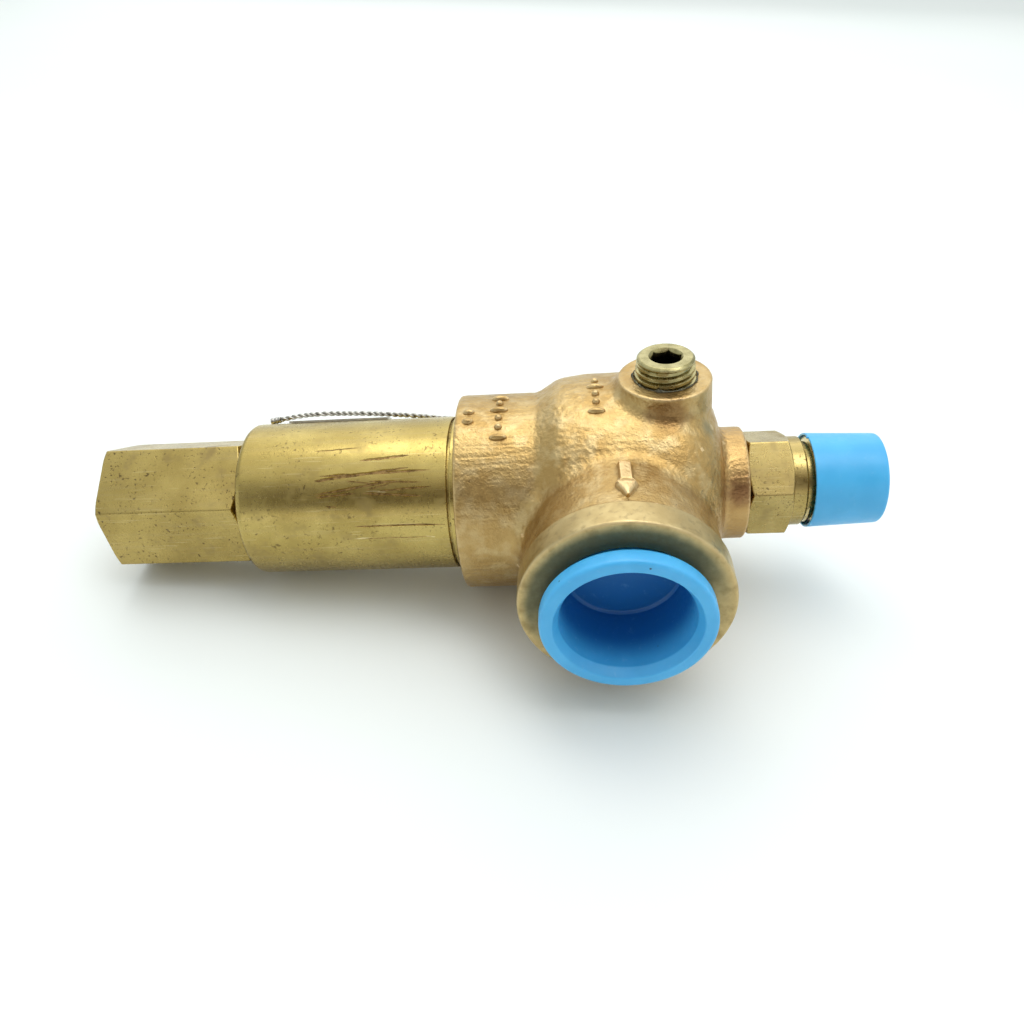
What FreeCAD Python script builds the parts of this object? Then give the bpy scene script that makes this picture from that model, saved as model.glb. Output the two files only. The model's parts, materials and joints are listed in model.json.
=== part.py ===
"""Angle-pattern pressure relief valve, 1/2 inch NPT male inlet by 1 inch NPT female outlet.

Cast bronze body, turned brass bonnet and a closed hexagon cap over the adjusting screw.
The valve lies on its side, as it is stored: the inlet points along +X, the outlet along -Y
and the drain plug along +Z. The origin is the centre of the inlet's end face, on the valve axis.
Units are millimetres.
"""
import FreeCAD, Part
import math
import os

V = FreeCAD.Vector
AXIS_X, AXIS_Y, AXIS_Z = V(1, 0, 0), V(0, 1, 0), V(0, 0, 1)

# ---------------------------------------------------------------- driving dimensions
INLET_REACH = 59.6          # from the outlet's axis to the inlet's end face
OUTLET_REACH = 41.34        # from the valve axis to the outlet's face
OUTLET_X = -INLET_REACH     # the outlet's axis crosses the valve axis here

BOWL_R = 27.7               # cast bowl round the seat
COLLAR_R = 23.7             # cast collar that takes the bonnet
COLLAR_FACE = OUTLET_X - 36.8
NECK_FILLET = 5.0           # cast fillets where the neck and the boss leave the bowl
BOSS_FILLET = 3.5
INLET_COLLAR_R = 13.57      # cast collar that takes the nozzle
INLET_COLLAR_FACE = OUTLET_X + 29.96
OUTLET_BOSS_R = 22.74       # turned band behind the outlet's face
OUTLET_NECK_R = 22.1        # cast neck behind that band
OUTLET_BAND = 6.6

NOZZLE_HEX_AF = 22.23       # 7/8 inch
NOZZLE_HEX_END = OUTLET_X + 40.3
NOZZLE_CORNER = 21.9        # where one corner of the hexagon points, see around()
NECK_R = 10.67              # plain neck beside the inlet thread
NECK_END = OUTLET_X + 43.6
INLET_THREAD_R = 9.76       # pitch radius of 1/2-14 NPT at hand-tight length
FLOW_R = 6.2

SEAT_X = OUTLET_X + 2.0     # where the disc meets the nozzle

BONNET_R = 18.69
BONNET_FACE = OUTLET_X - 38.9
BONNET_TOP = OUTLET_X - 88.8
BONNET_NECK_R = 11.0        # external thread for the cap
BONNET_NECK_END = OUTLET_X - 98.5
SPRING_CHAMBER_R = 15.0
SPIGOT_R = 16.5             # bonnet thread in the collar
SPIGOT_END = OUTLET_X - 27.0

CAP_HEX_AF = 28.58          # 1-1/8 inch
CAP_END = OUTLET_X - 124.24
CAP_MOUTH = OUTLET_X - 89.6
CAP_CORNER = 28.4

SCREW_R = 5.5               # 7/16-14 compression screw
SCREW_OUTER_END = OUTLET_X - 112.5
SCREW_INNER_END = OUTLET_X - 80.3
STEM_R = 3.0
STEM_BORE_R = 3.08
FIT = 0.055                 # radial clearance of a thread or a running fit

SPRING_WIRE_R = 1.9
SPRING_MEAN_R = 11.1
SPRING_TOP = OUTLET_X - 77.3
SPRING_BOTTOM = OUTLET_X - 45.0
STEP_R = 13.2
STEP_BOSS_R = 8.6

HOLDER_R = 10.5
GUIDE_SLEEVE_R = 13.9
GUIDE_SHOULDER = OUTLET_X - 24.0

PORT_MOUTH_R = 15.95        # 1-11.5 NPT at the outlet, first turns
PORT_DEEP_R = 15.55         # and deeper in
PORT_STEP = 28.5            # distance from the valve axis at which the two meet, just behind the plug
PORT_BOTTOM = 23.3
PASSAGE_R = 14.2

DRAIN_X = OUTLET_X + 10.81
DRAIN_BOSS_R = 10.4
DRAIN_FACE = 30.2
DRAIN_PLUG_TOP = 35.15
DRAIN_PLUG_R = 6.95         # crest of its lowest turn in sight, 1/4-18 NPT
DRAIN_PLUG_TOP_R = 6.4
DRAIN_ENGAGED_R = 6.7
DRAIN_PITCH = 25.4 / 18
DRAIN_SOCKET_AF = 6.1
DRAIN_SOCKET_CORNER = 14.0

PLATE_R = BONNET_R + 0.05   # blank plate bent round the bonnet's back
PLATE_THICK = 0.5
PLATE_FROM = OUTLET_X - 80.5
PLATE_TO = OUTLET_X - 55.5
PLATE_ANGLES = (119.5, 200.0)
PIN_R = 0.8
PIN_ANGLE = 160.0
PIN_STATIONS = (PLATE_FROM + 2.2, PLATE_TO - 2.2)

WIRE_R = 0.66               # two twisted strands of sealing wire, over all
# the seal wire from its hole in the collar to its ferrule: (x from the outlet's axis, radius, angle)
WIRE_ROUTE = [
    (-34.3, 20.90, 154.0),
    (-40.2, 20.70, 151.5),
    (-48.2, 20.25, 141.0),
    (-56.5, 20.55, 135.5),
    (-65.0, 20.90, 132.2),
    (-73.5, 21.05, 131.2),
    (-79.7, 20.70, 130.8),
    (-84.0, 20.00, 131.4),
]


# ---------------------------------------------------------------- helpers
def around(x, radius, angle):
    """A point at a radius from the valve axis, its angle in degrees from -Y up over +Z."""
    turn = math.radians(angle)
    return V(x, -radius * math.cos(turn), radius * math.sin(turn))


def radial(angle):
    """The outward direction at an angle round the valve axis."""
    return around(0, 1, angle)


def rounded_wire(corners):
    """A closed wire in the XY plane through (x, y) corners; a third value rounds that corner."""
    points = [V(c[0], c[1], 0) for c in corners]
    radii = [c[2] if len(c) > 2 else 0.0 for c in corners]
    entries, exits, arcs = [], [], []
    for i, (corner, radius) in enumerate(zip(points, radii)):
        back = (points[i - 1] - corner).normalize()
        ahead = (points[(i + 1) % len(points)] - corner).normalize()
        if radius == 0:
            entries.append(corner)
            exits.append(corner)
            arcs.append(None)
            continue
        half = back.getAngle(ahead) / 2
        reach = radius / math.tan(half)
        centre = corner + (back + ahead).normalize() * (radius / math.sin(half))
        start, end = corner + back * reach, corner + ahead * reach
        middle = centre + (corner - centre).normalize() * radius
        entries.append(start)
        exits.append(end)
        arcs.append(Part.Arc(start, middle, end).toShape())
    edges = []
    for i, start in enumerate(exits):
        if arcs[i]:
            edges.append(arcs[i])
        end = entries[(i + 1) % len(entries)]
        if start.distanceToPoint(end) > 1e-6:
            edges.append(Part.LineSegment(start, end).toShape())
    return Part.Wire(edges)


def turned(corners, direction=AXIS_X, base=V(0, 0, 0)):
    """Revolve an outline of (distance along the axis, radius) corners about a line."""
    solid = Part.Face(rounded_wire(corners)).revolve(V(0, 0, 0), AXIS_X, 360)
    solid.Placement = FreeCAD.Placement(base, FreeCAD.Rotation(AXIS_X, direction))
    return solid


def tube(x0, x1, outer, inner):
    """A plain ring or tube along the valve axis."""
    return turned([(x0, inner), (x1, inner), (x1, outer), (x0, outer)])


def rod(x0, x1, radius):
    return Part.makeCylinder(radius, x1 - x0, V(x0, 0, 0), AXIS_X)


def hexagon(x0, x1, across_flats, corner_angle, trims=(None, None)):
    """A hexagon bar along the valve axis, its corners turned away at 30 degrees at both ends.

    Each trim is how much of a corner goes at that end; None takes the whole corner.
    """
    corner_r = across_flats / 2 / math.cos(math.pi / 6)
    corners = [around(x0, corner_r, corner_angle + 60 * i) for i in range(6)]
    prism = Part.Face(Part.makePolygon(corners + corners[:1])).extrude(V(x1 - x0, 0, 0))
    whole = corner_r - across_flats / 2 * 0.985
    near, far = [whole if trim is None else trim for trim in trims]
    slope = math.tan(math.radians(30))
    return prism.common(turned([
        (x0, 0), (x1, 0), (x1, corner_r - far), (x1 - far * slope, corner_r),
        (x0 + near * slope, corner_r), (x0, corner_r - near),
    ]))


def hex_socket(top, depth, across_flats):
    """A hexagon hole down from a height, with the drill point under it and a countersink."""
    corner_r = across_flats / 2 / math.cos(math.pi / 6)
    corners = [
        V(DRAIN_X + corner_r * math.cos(math.radians(60 * i + DRAIN_SOCKET_CORNER)),
          corner_r * math.sin(math.radians(60 * i + DRAIN_SOCKET_CORNER)), top - depth)
        for i in range(6)
    ]
    hole = Part.Face(Part.makePolygon(corners + corners[:1])).extrude(V(0, 0, depth + 1))
    flat_r = across_flats / 2
    point = Part.makeCone(0, flat_r, flat_r * 0.6, V(DRAIN_X, 0, top - depth - flat_r * 0.6), AXIS_Z)
    sink = Part.makeCone(flat_r, corner_r + 0.25, 0.7, V(DRAIN_X, 0, top - 0.7), AXIS_Z)
    return hole.fuse([point, sink])


def cord_path(points):
    """Straight runs joined by the largest tangent arcs, and the radius of each arc."""
    edges, radii = [], []
    start = points[0]
    for before, corner, after in zip(points, points[1:], points[2:]):
        back, ahead = before - corner, after - corner
        turn = math.pi - back.getAngle(ahead)
        reach = 0.45 * min(back.Length, ahead.Length)
        radius = reach / math.tan(turn / 2)
        back.normalize()
        ahead.normalize()
        enter, leave = corner + back * reach, corner + ahead * reach
        to_centre = (back + ahead).normalize() * (radius / math.cos(turn / 2))
        centre = corner + to_centre
        middle = centre + (corner - centre).normalize() * radius
        edges.append(Part.LineSegment(start, enter).toShape())
        edges.append(Part.Arc(enter, middle, leave).toShape())
        radii.append(radius)
        start = leave
    edges.append(Part.LineSegment(start, points[-1]).toShape())
    return Part.Wire(edges), radii


# ---------------------------------------------------------------- pressure-holding shell
def flow_arrow(bowl, neck):
    """A raised arrow on top of the outlet neck, pointing to the outlet."""
    x, tail, barb, tip = OUTLET_X + 0.6, 21.0, 28.0, 32.8
    half_shaft, half_head = 1.25, 2.1
    outline = [
        V(x - half_shaft, -tail, 0), V(x - half_shaft, -barb, 0), V(x - half_head, -barb - 0.6, 0),
        V(x, -tip, 0), V(x + half_head, -barb - 0.6, 0), V(x + half_shaft, -barb, 0),
        V(x + half_shaft, -tail, 0),
    ]
    prism = Part.Face(Part.makePolygon(outline + outline[:1])).extrude(V(0, 0, 40))
    return prism.common(neck.fuse(bowl))


def bowl_outline(grow=0.0):
    """Collar, bowl and inlet collar as one outline about the valve axis."""
    x = OUTLET_X
    return [
        (COLLAR_FACE, 0), (COLLAR_FACE, COLLAR_R + grow, 0.7), (x - 18.2, COLLAR_R + grow, 3.5),
        (x - 13.0, BOWL_R - 0.8 + grow, 8.0), (x - 6.5, BOWL_R + grow, 20.0),
        (x + 21.6, BOWL_R + grow, 13.5),
        (x + 23.9, INLET_COLLAR_R + grow, 2.2), (INLET_COLLAR_FACE, INLET_COLLAR_R + grow, 0.6),
        (INLET_COLLAR_FACE, 0),
    ]


def neck_outline(grow=0.0):
    band = OUTLET_REACH - OUTLET_BAND
    return [
        (6, 0), (6, OUTLET_NECK_R - 1.4 + grow), (band - 0.4, OUTLET_NECK_R + grow, 0.3),
        (band, OUTLET_BOSS_R), (OUTLET_REACH, OUTLET_BOSS_R, 0.5), (OUTLET_REACH, 0),
    ]


def cast_body():
    """Bowl, bonnet collar, inlet collar, outlet neck and drain boss, with their machined bores."""
    x = OUTLET_X
    outlet_base, drain_base = V(x, 0, 0), V(DRAIN_X, 0, 0)
    bowl = turned(bowl_outline())
    neck = turned(neck_outline(), V(0, -1, 0), outlet_base)
    boss = turned([
        (12, 0), (12, DRAIN_BOSS_R + 0.9), (DRAIN_FACE, DRAIN_BOSS_R, 0.5), (DRAIN_FACE, 0),
    ], AXIS_Z, drain_base)
    shell = bowl.fuse([neck, boss]).removeSplitter()
    shell = blended(shell, bowl, neck, boss)
    raised_neck = turned(neck_outline(0.8), V(0, -1, 0), outlet_base)
    arrow = flow_arrow(turned(bowl_outline(0.8)), raised_neck)
    shell = shell.fuse(arrow)
    chamber = turned([
        (x - 13.0, 0), (x - 13.0, 21.0, 4.0), (x + 17.5, 21.0, 8.0), (x + 17.5, 0),
    ])
    bores = [
        rod(COLLAR_FACE - 1, GUIDE_SHOULDER, SPIGOT_R),
        rod(GUIDE_SHOULDER - 1, x - 12, 14.6),
        rod(x + 16, INLET_COLLAR_FACE + 1, 10.2),
        turned([
            (8, 0), (8, PASSAGE_R), (PORT_BOTTOM, PASSAGE_R), (PORT_BOTTOM, PORT_DEEP_R),
            (PORT_STEP, PORT_DEEP_R), (PORT_STEP, PORT_MOUTH_R),
            (OUTLET_REACH - 1.0, PORT_MOUTH_R), (OUTLET_REACH + 1, PORT_MOUTH_R + 2.0),
            (OUTLET_REACH + 1, 0),
        ], V(0, -1, 0), outlet_base),
        turned([
            (10, 0), (10, 5.0), (22.6, 5.0), (22.6, DRAIN_ENGAGED_R + FIT),
            (DRAIN_FACE + 1, DRAIN_ENGAGED_R + FIT), (DRAIN_FACE + 1, 0),
        ], AXIS_Z, drain_base),
        wire_hole(),
    ]
    return shell.cut([chamber] + bores)


def blended(shell, bowl, neck, boss):
    """Round the inner corners where the outlet neck and the drain boss grow out of the bowl."""
    for part, radius in ((neck, NECK_FILLET), (boss, BOSS_FILLET)):
        seams = [e for e in shell.Edges if is_seam(e, bowl, part)]
        shell = shell.makeFillet(radius, seams)
    return shell


def wire_hole():
    """The collar's blind hole that the seal wire comes out of, in line with the wire."""
    start, ahead = wire_points()[:2]
    heading = (ahead - start).normalize()
    return Part.makeCylinder(WIRE_R + 0.2, 5.0, start - heading * 0.3, heading)


def is_seam(edge, first, second):
    """True if an edge lies on the outside of both solids."""
    span = edge.LastParameter - edge.FirstParameter
    probes = [edge.valueAt(edge.FirstParameter + span * f) for f in (0.2, 0.5, 0.8)]
    return all(
        solid.Shells[0].distToShape(Part.Vertex(p))[0] < 1e-3
        for solid in (first, second) for p in probes
    )


def nozzle():
    """Seat, body thread, hexagon, plain neck and inlet thread in one turned piece."""
    x = OUTLET_X
    thread_start, groove = x + 15.5, (x + 27.4, x + 29.0)
    shank = turned([
        (SEAT_X, FLOW_R), (SEAT_X, 7.3, 0.3), (x + 6.0, 7.3, 0.5), (x + 6.6, 8.4), (thread_start, 8.4),
        (thread_start + 1.2, 10.2), (groove[0], 10.2), (groove[0], 8.9), (groove[1], 8.9),
        (groove[1], 10.2), (INLET_COLLAR_FACE, 10.2), (INLET_COLLAR_FACE, FLOW_R),
    ])
    hexagon_part = hexagon(INLET_COLLAR_FACE, NOZZLE_HEX_END, NOZZLE_HEX_AF, NOZZLE_CORNER)
    hexagon_part = hexagon_part.cut(rod(INLET_COLLAR_FACE - 1, NOZZLE_HEX_END + 1, FLOW_R))
    tail = turned([
        (NOZZLE_HEX_END, FLOW_R), (NOZZLE_HEX_END, NECK_R), (NECK_END - 0.5, NECK_R),
        (NECK_END, NECK_R - 0.5), (NECK_END, INLET_THREAD_R), (0, INLET_THREAD_R),
        (0, FLOW_R + 0.8), (-0.8, FLOW_R),
    ])
    return shank.fuse([hexagon_part, tail]).removeSplitter()


def nozzle_o_ring():
    return Part.makeTorus(9.55, 0.62, V(OUTLET_X + 28.2, 0, 0), AXIS_X)


def bonnet():
    """Spring housing: spigot into the body at one end, neck for the cap at the other."""
    x = OUTLET_X
    outline = [
        (BONNET_NECK_END, SCREW_R + FIT), (BONNET_NECK_END, BONNET_NECK_R, 0.6),
        (BONNET_TOP, BONNET_NECK_R, 0.2), (BONNET_TOP, BONNET_R, 1.5), (BONNET_FACE, BONNET_R, 0.3),
        (BONNET_FACE, SPIGOT_R), (SPIGOT_END, SPIGOT_R), (SPIGOT_END, 14.0), (x - 36.0, 14.0),
        (x - 37.0, SPRING_CHAMBER_R), (x - 83.5, SPRING_CHAMBER_R, 1.5), (x - 83.5, SCREW_R + FIT),
    ]
    pin_holes = [
        Part.makeCylinder(PIN_R, 2.6, around(px, BONNET_R - 2.5, PIN_ANGLE), radial(PIN_ANGLE))
        for px in PIN_STATIONS
    ]
    return turned(outline).cut(pin_holes)


def bonnet_seal_ring():
    """Brass ring squeezed between the bonnet and the collar, with the narrow groove beside it."""
    face, land = BONNET_FACE, BONNET_FACE + 0.6
    return turned([
        (face, SPIGOT_R + 0.1), (face, BONNET_R - 1.1), (land, BONNET_R - 1.1), (land, BONNET_R + 0.1, 0.2),
        (COLLAR_FACE, BONNET_R + 0.1, 0.2), (COLLAR_FACE, SPIGOT_R + 0.1),
    ])


def hex_cap():
    """Closed hexagon cap: threaded over the bonnet's neck, hollow over the screw and its nut."""
    x = OUTLET_X
    bar = hexagon(CAP_END, CAP_MOUTH, CAP_HEX_AF, CAP_CORNER, (1.0, None))
    hollow = turned([
        (x - 120.2, 0), (x - 120.2, 10.6, 2.0), (x - 99.5, 10.6), (x - 99.5, BONNET_NECK_R + FIT),
        (CAP_MOUTH + 1, BONNET_NECK_R + FIT), (CAP_MOUTH + 1, 0),
    ])
    return bar.cut(hollow)


def cap_gasket():
    return tube(CAP_MOUTH, BONNET_TOP, 13.6, BONNET_NECK_R + 0.25)


# ---------------------------------------------------------------- spring and its adjustment
def compression_screw():
    """Hollow adjusting screw with a screwdriver slot across its outer end."""
    body = turned([
        (SCREW_OUTER_END, STEM_BORE_R + 0.2), (SCREW_OUTER_END, SCREW_R - 0.6),
        (SCREW_OUTER_END + 0.6, SCREW_R), (SCREW_INNER_END - 0.8, SCREW_R),
        (SCREW_INNER_END, SCREW_R - 0.8), (SCREW_INNER_END, STEM_BORE_R + 0.2),
    ])
    slot = Part.makeBox(2.4, 14, 1.8, V(SCREW_OUTER_END - 0.2, -7, -0.9))
    return body.cut(slot)


def jam_nut():
    thickness = 4.9
    nut = hexagon(BONNET_NECK_END - thickness, BONNET_NECK_END - 0.02, 17.46, 12.0)
    return nut.cut(rod(BONNET_NECK_END - 6, BONNET_NECK_END + 1, SCREW_R + FIT))


def spring_step(flange_at, boss_end):
    """A spring seat: flange against the end coil, boss inside the coils, bored for the stem."""
    inward = 1 if boss_end > flange_at else -1
    back = flange_at - 3.0 * inward
    corners = [
        (back, STEM_BORE_R), (back, STEP_R - 0.5), (back + 0.5 * inward, STEP_R), (flange_at, STEP_R),
        (flange_at, STEP_BOSS_R), (boss_end - 0.8 * inward, STEP_BOSS_R), (boss_end, STEP_BOSS_R - 0.8),
        (boss_end, STEM_BORE_R),
    ]
    return turned(corners)


def upper_spring_step():
    return spring_step(SPRING_TOP, SPRING_TOP + 6.0)


def lower_spring_step():
    return spring_step(SPRING_BOTTOM, SPRING_BOTTOM - 6.0)


def main_spring():
    """Round-wire compression spring with ends ground flat."""
    length, turns = SPRING_BOTTOM - SPRING_TOP, 6.5
    overrun = SPRING_WIRE_R * 0.8
    helix = Part.makeHelix((length + 2 * overrun) / turns, length + 2 * overrun, SPRING_MEAN_R)
    section = Part.Wire(Part.makeCircle(SPRING_WIRE_R, V(SPRING_MEAN_R, 0, 0), AXIS_Y))
    coil = Part.Wire(helix).makePipeShell([section], True, True)
    coil.Placement = FreeCAD.Placement(
        V(SPRING_TOP - overrun, 0, 0), FreeCAD.Rotation(AXIS_Z, AXIS_X))
    return coil.common(tube(SPRING_TOP, SPRING_BOTTOM, STEP_R + 2, STEP_BOSS_R - 1))


def stem():
    """Spindle from inside the compression screw to the disc holder, with a collar and a foot."""
    x = OUTLET_X
    collar, foot = x - 42.0, x - 15.9
    return turned([
        (x - 109.0, 0), (x - 109.0, STEM_R, 0.6), (collar, STEM_R), (collar, 5.2), (collar + 2.5, 5.2, 0.4),
        (collar + 3.2, STEM_R), (foot, STEM_R), (foot, 3.6), (foot + 2.0, 3.6),
        (foot + 4.4, 1.6, 1.0), (foot + 4.4, 0),
    ])


# ---------------------------------------------------------------- disc and its guide
def guide():
    """Flanged sleeve that the disc holder slides in, clamped by the bonnet's spigot."""
    flange = SPIGOT_END
    return turned([
        (flange, HOLDER_R + FIT), (flange, 16.4), (GUIDE_SHOULDER, 16.4), (GUIDE_SHOULDER, GUIDE_SLEEVE_R),
        (OUTLET_X - 10.0, GUIDE_SLEEVE_R, 0.5), (OUTLET_X - 10.0, HOLDER_R + FIT),
    ])


def disc_holder():
    """Guided piston with a socket for the stem and a skirt round the soft seat."""
    x = OUTLET_X
    return turned([
        (x - 32.0, 7.5), (x - 32.0, HOLDER_R, 0.5), (x + 4.5, HOLDER_R, 0.4), (x + 4.5, 7.85),
        (x - 1.0, 7.85), (x - 1.0, 2.0), (x - 8.5, 2.0), (x - 8.5, 0), (x - 11.4, 0),
        (x - 11.4, 3.75), (x - 16.0, 3.75), (x - 16.0, 7.5),
    ])


def seat_insert():
    return tube(OUTLET_X - 1.0, SEAT_X, 7.8, 2.05)


def insert_retainer():
    return tube(SEAT_X, SEAT_X + 1.2, 4.9, 2.05)


def retainer_screw():
    """Socket-head screw that holds the retainer and the soft insert to the holder."""
    head = SEAT_X + 1.2
    screw = turned([
        (OUTLET_X - 8.0, 0), (OUTLET_X - 8.0, 1.6), (OUTLET_X - 7.6, 2.0), (head, 2.0), (head, 3.4),
        (head + 2.4, 3.4, 0.3), (head + 2.4, 0),
    ])
    size = 2.5 / 2 / math.cos(math.pi / 6)
    corners = [around(head + 1.0, size, 60 * i) for i in range(7)]
    return screw.cut(Part.Face(Part.makePolygon(corners)).extrude(V(2, 0, 0)))


def stem_retaining_ring():
    return tube(OUTLET_X - 17.2, OUTLET_X - 16.0, 7.45, STEM_BORE_R)


# ---------------------------------------------------------------- drain, covers, plate and seal
def drain_plug():
    """Socket pipe plug; the turns outside the boss show, the hidden ones are a plain cylinder."""
    bottom, depth = 23.4, 0.75
    outline = [(bottom, 0), (bottom, DRAIN_ENGAGED_R - 0.6), (bottom + 0.6, DRAIN_ENGAGED_R)]
    top_land = DRAIN_PLUG_TOP - 0.75
    turns = int((top_land - DRAIN_FACE) / DRAIN_PITCH)
    base = top_land - turns * DRAIN_PITCH
    outline += [(base, DRAIN_ENGAGED_R)]
    taper = (DRAIN_PLUG_R - DRAIN_PLUG_TOP_R) / turns
    for i in range(turns):
        z, crest = base + i * DRAIN_PITCH, DRAIN_PLUG_R - taper * i
        root = crest - depth
        outline += [(z, crest), (z + 0.25, crest), (z + 0.75, root), (z + 0.95, root)]
    outline += [
        (top_land, DRAIN_PLUG_TOP_R), (top_land + 0.25, DRAIN_PLUG_TOP_R, 0.2),
        (DRAIN_PLUG_TOP, DRAIN_PLUG_TOP_R - 0.5), (DRAIN_PLUG_TOP, 0),
    ]
    plug = turned(outline, AXIS_Z, V(DRAIN_X, 0, 0))
    return plug.cut(hex_socket(DRAIN_PLUG_TOP, 5.0, DRAIN_SOCKET_AF))


def thread_sealant():
    """Bead of set thread sealant squeezed out where the drain plug enters its boss."""
    inner = DRAIN_PLUG_R + 0.04
    return turned([
        (DRAIN_FACE + 0.02, inner), (DRAIN_FACE + 0.02, inner + 0.85, 0.2),
        (DRAIN_FACE + 0.55, inner + 0.3, 0.2), (DRAIN_FACE + 0.6, inner),
    ], AXIS_Z, V(DRAIN_X, 0, 0))


def outlet_plug():
    """Push-in plastic plug: a tapered cup with a thick rim that stands off the outlet's face."""
    front, rim_back, floor_back, floor = 47.38, 43.45, 28.8, 30.4
    return turned([
        (floor_back, 0), (floor_back, 14.8, 0.8), (rim_back, 15.85), (rim_back, 18.09, 0.6),
        (front, 18.09, 0.5), (front, 15.4, 0.3), (front - 2.4, 14.0, 0.5), (floor, 12.7, 0.6), (floor, 0),
    ], V(0, -1, 0), V(OUTLET_X, 0, 0))


def inlet_cap():
    """Slip-on plastic cap over the inlet thread, open towards the hexagon."""
    mouth, end, end_inside = OUTLET_X + 44.97, OUTLET_X + 61.45, OUTLET_X + 60.3
    return turned([
        (mouth, 10.78), (mouth, 11.31, 0.15), (end, 10.66, 0.7), (end, 0), (end_inside, 0),
        (end_inside, 10.37, 0.3),
    ])


def name_plate():
    """Blank metal plate bent round the back of the bonnet."""
    blank = tube(PLATE_FROM, PLATE_TO, PLATE_R + PLATE_THICK, PLATE_R)
    reach, (first, last) = 40.0, PLATE_ANGLES
    middle = (first + last) / 2
    wedge_points = [around(PLATE_FROM - 1, 0, 0)]
    wedge_points += [around(PLATE_FROM - 1, reach, a) for a in (first, middle, last)]
    wedge = Part.Face(Part.makePolygon(wedge_points + wedge_points[:1])).extrude(
        V(PLATE_TO - PLATE_FROM + 2, 0, 0))
    holes = [
        Part.makeCylinder(PIN_R, 6, around(px, BONNET_R - 2, PIN_ANGLE), radial(PIN_ANGLE))
        for px in PIN_STATIONS
    ]
    return blank.common(wedge).cut(holes)


def name_plate_pins():
    """Two drive pins through the plate into the bonnet."""
    head_r = PLATE_R + PLATE_THICK + 0.05
    pins = []
    for px in PIN_STATIONS:
        pin = turned([
            (BONNET_R - 2.4, 0), (BONNET_R - 2.4, PIN_R), (head_r, PIN_R), (head_r, 1.5),
            (head_r + 0.7, 1.3, 0.5), (head_r + 0.7, 0),
        ], radial(PIN_ANGLE), V(px, 0, 0))
        pins.append(pin)
    return Part.makeCompound(pins)


def wire_points():
    return [around(OUTLET_X + x, radius, angle) for x, radius, angle in WIRE_ROUTE]


def seal_wire():
    """Sealing wire from its hole in the collar along the bonnet, as one round tube."""
    points = wire_points()
    path, radii = cord_path(points)
    heading = points[1] - points[0]
    section = Part.Wire(Part.makeCircle(WIRE_R, points[0], heading))
    wire = path.makePipeShell([section], True, False)
    length = path.Length
    print("seal wire length %.1f mm, arc radii" % length, [round(r, 1) for r in radii])
    print("volume over section times length: %.4f" % (wire.Volume / (math.pi * WIRE_R**2 * length)))
    return wire


def wire_ferrule():
    """Crimped sleeve on the wire's loose end."""
    points = wire_points()
    heading = (points[-1] - points[-2]).normalize()
    return turned([(0, 0), (0, 0.85, 0.15), (2.6, 0.85, 0.15), (2.6, 0)], heading, points[-1])


# ---------------------------------------------------------------- export
PARTS = [
    cast_body, nozzle, nozzle_o_ring, bonnet, bonnet_seal_ring, hex_cap, cap_gasket,
    compression_screw, jam_nut, upper_spring_step, lower_spring_step, main_spring, stem,
    guide, disc_holder, seat_insert, insert_retainer, retainer_screw, stem_retaining_ring,
    drain_plug, thread_sealant, outlet_plug, inlet_cap,
    name_plate, name_plate_pins, seal_wire, wire_ferrule,
]

os.makedirs("parts", exist_ok=True)
for make in PARTS:
    shape = make()
    print("%-20s valid %s solids %d volume %.1f" % (
        make.__name__, shape.isValid(), len(shape.Solids), shape.Volume))
    shape.exportStep("parts/%s.step" % make.__name__)
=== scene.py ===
"""Looks of the pressure relief valve: camera, sealing wire, finer meshes, materials, floor and light.

Shapes are worked out in millimetres in the CAD model's frame and turned into metres when a mesh is made.
"""

import json
import math

import bmesh
import bpy
import numpy as np
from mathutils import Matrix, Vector, noise
from mathutils.bvhtree import BVHTree

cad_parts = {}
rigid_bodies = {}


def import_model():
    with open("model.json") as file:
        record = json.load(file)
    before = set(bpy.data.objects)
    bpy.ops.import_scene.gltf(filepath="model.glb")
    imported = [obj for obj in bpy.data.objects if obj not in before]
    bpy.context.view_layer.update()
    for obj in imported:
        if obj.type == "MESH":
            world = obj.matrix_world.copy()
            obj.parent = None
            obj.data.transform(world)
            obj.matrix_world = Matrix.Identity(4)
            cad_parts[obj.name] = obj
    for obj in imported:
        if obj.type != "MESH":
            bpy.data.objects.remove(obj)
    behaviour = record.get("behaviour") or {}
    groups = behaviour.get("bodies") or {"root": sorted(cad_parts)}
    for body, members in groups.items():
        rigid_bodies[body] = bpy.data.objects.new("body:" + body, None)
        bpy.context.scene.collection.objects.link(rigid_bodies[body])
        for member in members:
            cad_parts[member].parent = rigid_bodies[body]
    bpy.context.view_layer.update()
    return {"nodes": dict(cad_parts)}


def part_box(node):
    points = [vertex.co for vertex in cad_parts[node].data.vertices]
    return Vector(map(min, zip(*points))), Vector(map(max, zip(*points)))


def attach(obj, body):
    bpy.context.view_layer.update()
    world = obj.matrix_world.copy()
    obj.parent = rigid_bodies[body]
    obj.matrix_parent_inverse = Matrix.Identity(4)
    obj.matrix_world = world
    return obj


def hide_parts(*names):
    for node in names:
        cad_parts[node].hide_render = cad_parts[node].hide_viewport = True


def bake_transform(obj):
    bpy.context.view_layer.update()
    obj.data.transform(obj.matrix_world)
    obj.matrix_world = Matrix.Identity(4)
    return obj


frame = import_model()
MM = 0.001
NODES = frame["nodes"]
noise.seed_set(1)     # so that the sand texture is the same each run


# ---- places taken from the frame
def box_mm(node):
    """Lowest and highest corner of a CAD node, in millimetres."""
    low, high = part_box(node)
    return Vector(low) / MM, Vector(high) / MM


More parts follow.
